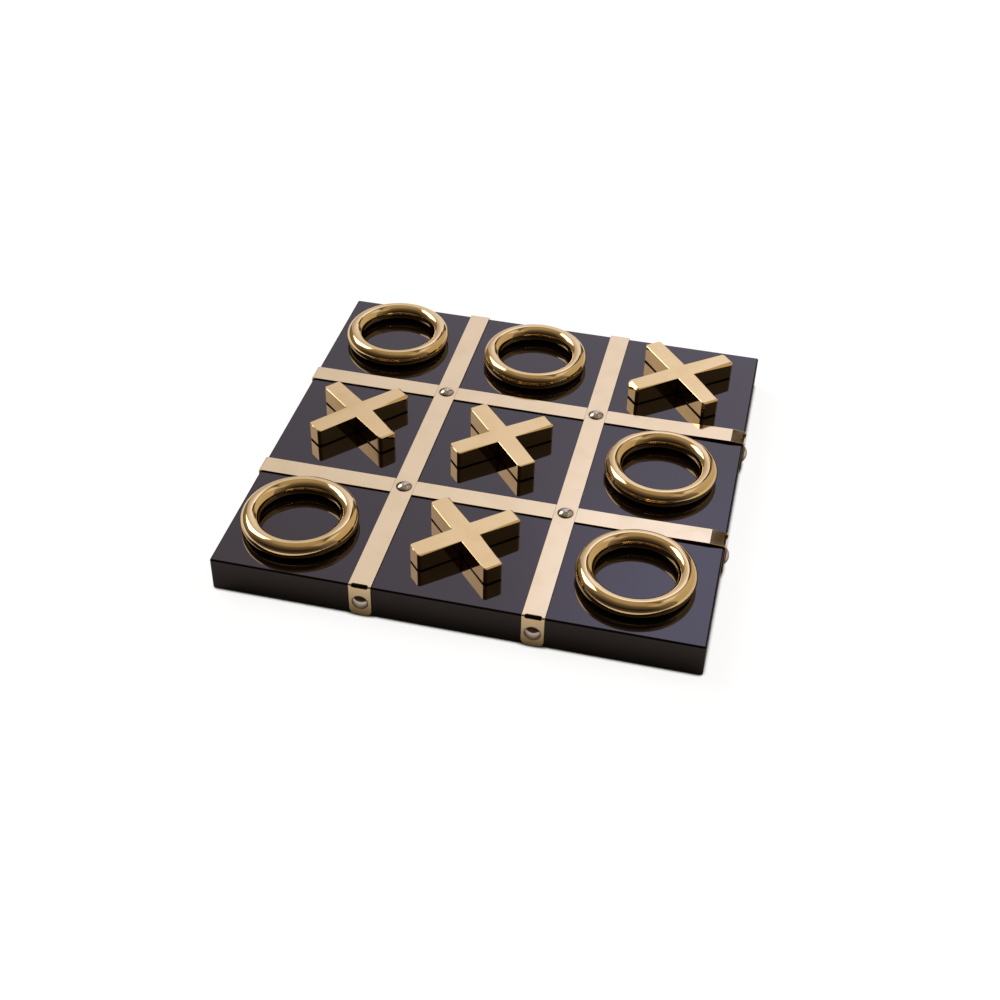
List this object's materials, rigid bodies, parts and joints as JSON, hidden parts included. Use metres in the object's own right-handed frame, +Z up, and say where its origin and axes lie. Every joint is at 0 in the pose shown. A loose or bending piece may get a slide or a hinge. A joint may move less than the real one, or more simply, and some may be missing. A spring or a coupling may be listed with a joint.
{
  "type": "tic-tac-toe board",
  "caption": "Square black lacquered tic-tac-toe board with riveted brass straps and loose solid brass rings and crosses.",
  "frame": {"origin": "centre of the underside of the board", "axes": "+Z up through the board, +X to the right along its front side, +Y to the back"},
  "size_m": [0.3118, 0.3118, 0.0366],
  "materials": {
    "lacquer": "black high-gloss lacquer",
    "felt": "black felt",
    "strap_brass": "polished brass, fine brushed grain",
    "piece_brass": "polished cast brass, hand finished",
    "rivet_nickel": "polished nickel"
  },
  "bodies": {
    "board": {"board_panel": "lacquer", "base_felt": "felt", "column_strap_left": "strap_brass", "column_strap_right": "strap_brass", "row_strap_back": "strap_brass", "row_strap_front": "strap_brass", "crossing_rivets": "rivet_nickel", "front_rivets": "rivet_nickel", "back_rivets": "rivet_nickel", "left_rivets": "rivet_nickel", "right_rivets": "rivet_nickel"},
    "ring_back_left": {"ring_back_left": "piece_brass"},
    "ring_back_middle": {"ring_back_middle": "piece_brass"},
    "ring_middle_right": {"ring_middle_right": "piece_brass"},
    "ring_front_left": {"ring_front_left": "piece_brass"},
    "ring_front_right": {"ring_front_right": "piece_brass"},
    "cross_back_right": {"cross_back_right": "piece_brass"},
    "cross_middle_left": {"cross_middle_left": "piece_brass"},
    "cross_centre": {"cross_centre": "piece_brass"},
    "cross_front_middle": {"cross_front_middle": "piece_brass"}
  },
  "joints": [
    {"name": "lift_ring_back_left", "type": "slide", "parent": "board", "child": "ring_back_left", "axis": [0, 0, 1], "range_m": [0, 0.04]},
    {"name": "lift_ring_back_middle", "type": "slide", "parent": "board", "child": "ring_back_middle", "axis": [0, 0, 1], "range_m": [0, 0.04]},
    {"name": "lift_ring_middle_right", "type": "slide", "parent": "board", "child": "ring_middle_right", "axis": [0, 0, 1], "range_m": [0, 0.04]},
    {"name": "lift_ring_front_left", "type": "slide", "parent": "board", "child": "ring_front_left", "axis": [0, 0, 1], "range_m": [0, 0.04]},
    {"name": "lift_ring_front_right", "type": "slide", "parent": "board", "child": "ring_front_right", "axis": [0, 0, 1], "range_m": [0, 0.04]},
    {"name": "lift_cross_back_right", "type": "slide", "parent": "board", "child": "cross_back_right", "axis": [0, 0, 1], "range_m": [0, 0.04]},
    {"name": "lift_cross_middle_left", "type": "slide", "parent": "board", "child": "cross_middle_left", "axis": [0, 0, 1], "range_m": [0, 0.04]},
    {"name": "lift_cross_centre", "type": "slide", "parent": "board", "child": "cross_centre", "axis": [0, 0, 1], "range_m": [0, 0.04]},
    {"name": "lift_cross_front_middle", "type": "slide", "parent": "board", "child": "cross_front_middle", "axis": [0, 0, 1], "range_m": [0, 0.04]}
  ]
}
